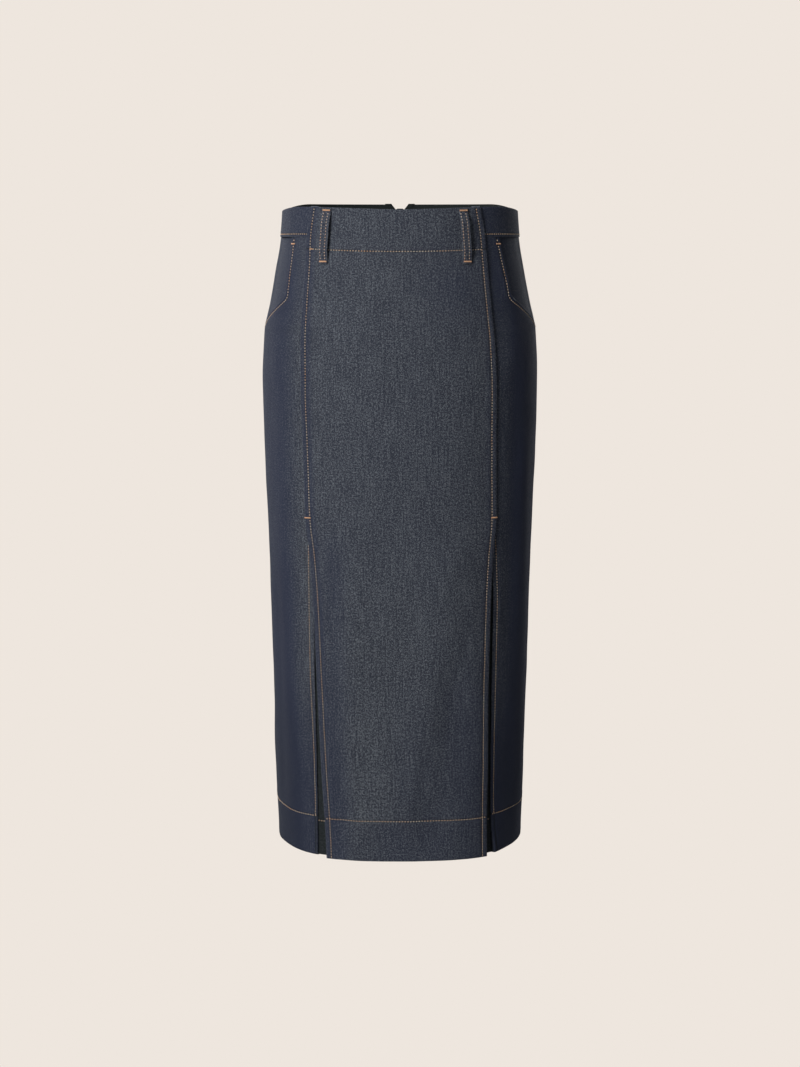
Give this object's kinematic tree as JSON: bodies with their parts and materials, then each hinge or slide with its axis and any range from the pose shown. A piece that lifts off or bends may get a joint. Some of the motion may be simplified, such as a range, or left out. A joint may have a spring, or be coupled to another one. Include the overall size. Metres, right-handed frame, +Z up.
{
  "type": "denim pencil skirt",
  "caption": "Hollow raw-denim pencil skirt: lapped front centre panel over two front vents with underlays, angled pockets, belt loops and a hidden back zip under a V notch.",
  "frame": {"origin": "centre of the waist opening at the height of its front edge, where the waist holds the skirt up", "axes": "+Z up, from hem to waist; the front faces -Y and the back +Y; +X is to the right as the front is looked at, the wearer's left"},
  "size_m": [0.3254, 0.251, 0.761],
  "materials": {
    "denim": "raw dark indigo twill with a salt-and-pepper grain and tan topstitching",
    "pocketing": "plain woven cotton",
    "zip_tape": "woven tape",
    "zip_metal": "dark enamelled metal"
  },
  "bodies": {
    "skirt": {"front_centre_panel": "denim", "front_side_left": "denim", "pocket_facing_left": "denim", "vent_underlay_left": "denim", "back_left": "denim", "waistband_left": "denim", "front_side_right": "denim", "pocket_facing_right": "denim", "vent_underlay_right": "denim", "back_right": "denim", "waistband_right": "denim", "belt_loop_front_left": "denim", "belt_loop_front_right": "denim", "belt_loop_back_left": "denim", "belt_loop_back_right": "denim", "pocket_bag_left": "pocketing", "pocket_bag_right": "pocketing", "zip_tape": "zip_tape", "zip_slider": "zip_metal"},
    "zip_pull": {"zip_pull": "zip_metal"}
  },
  "joints": [
    {"name": "pull_swing", "type": "hinge", "parent": "skirt", "child": "zip_pull", "pos_m": [0, 0.10495, 0], "axis": [1, 0, 0], "range_deg": [0, 150]}
  ]
}
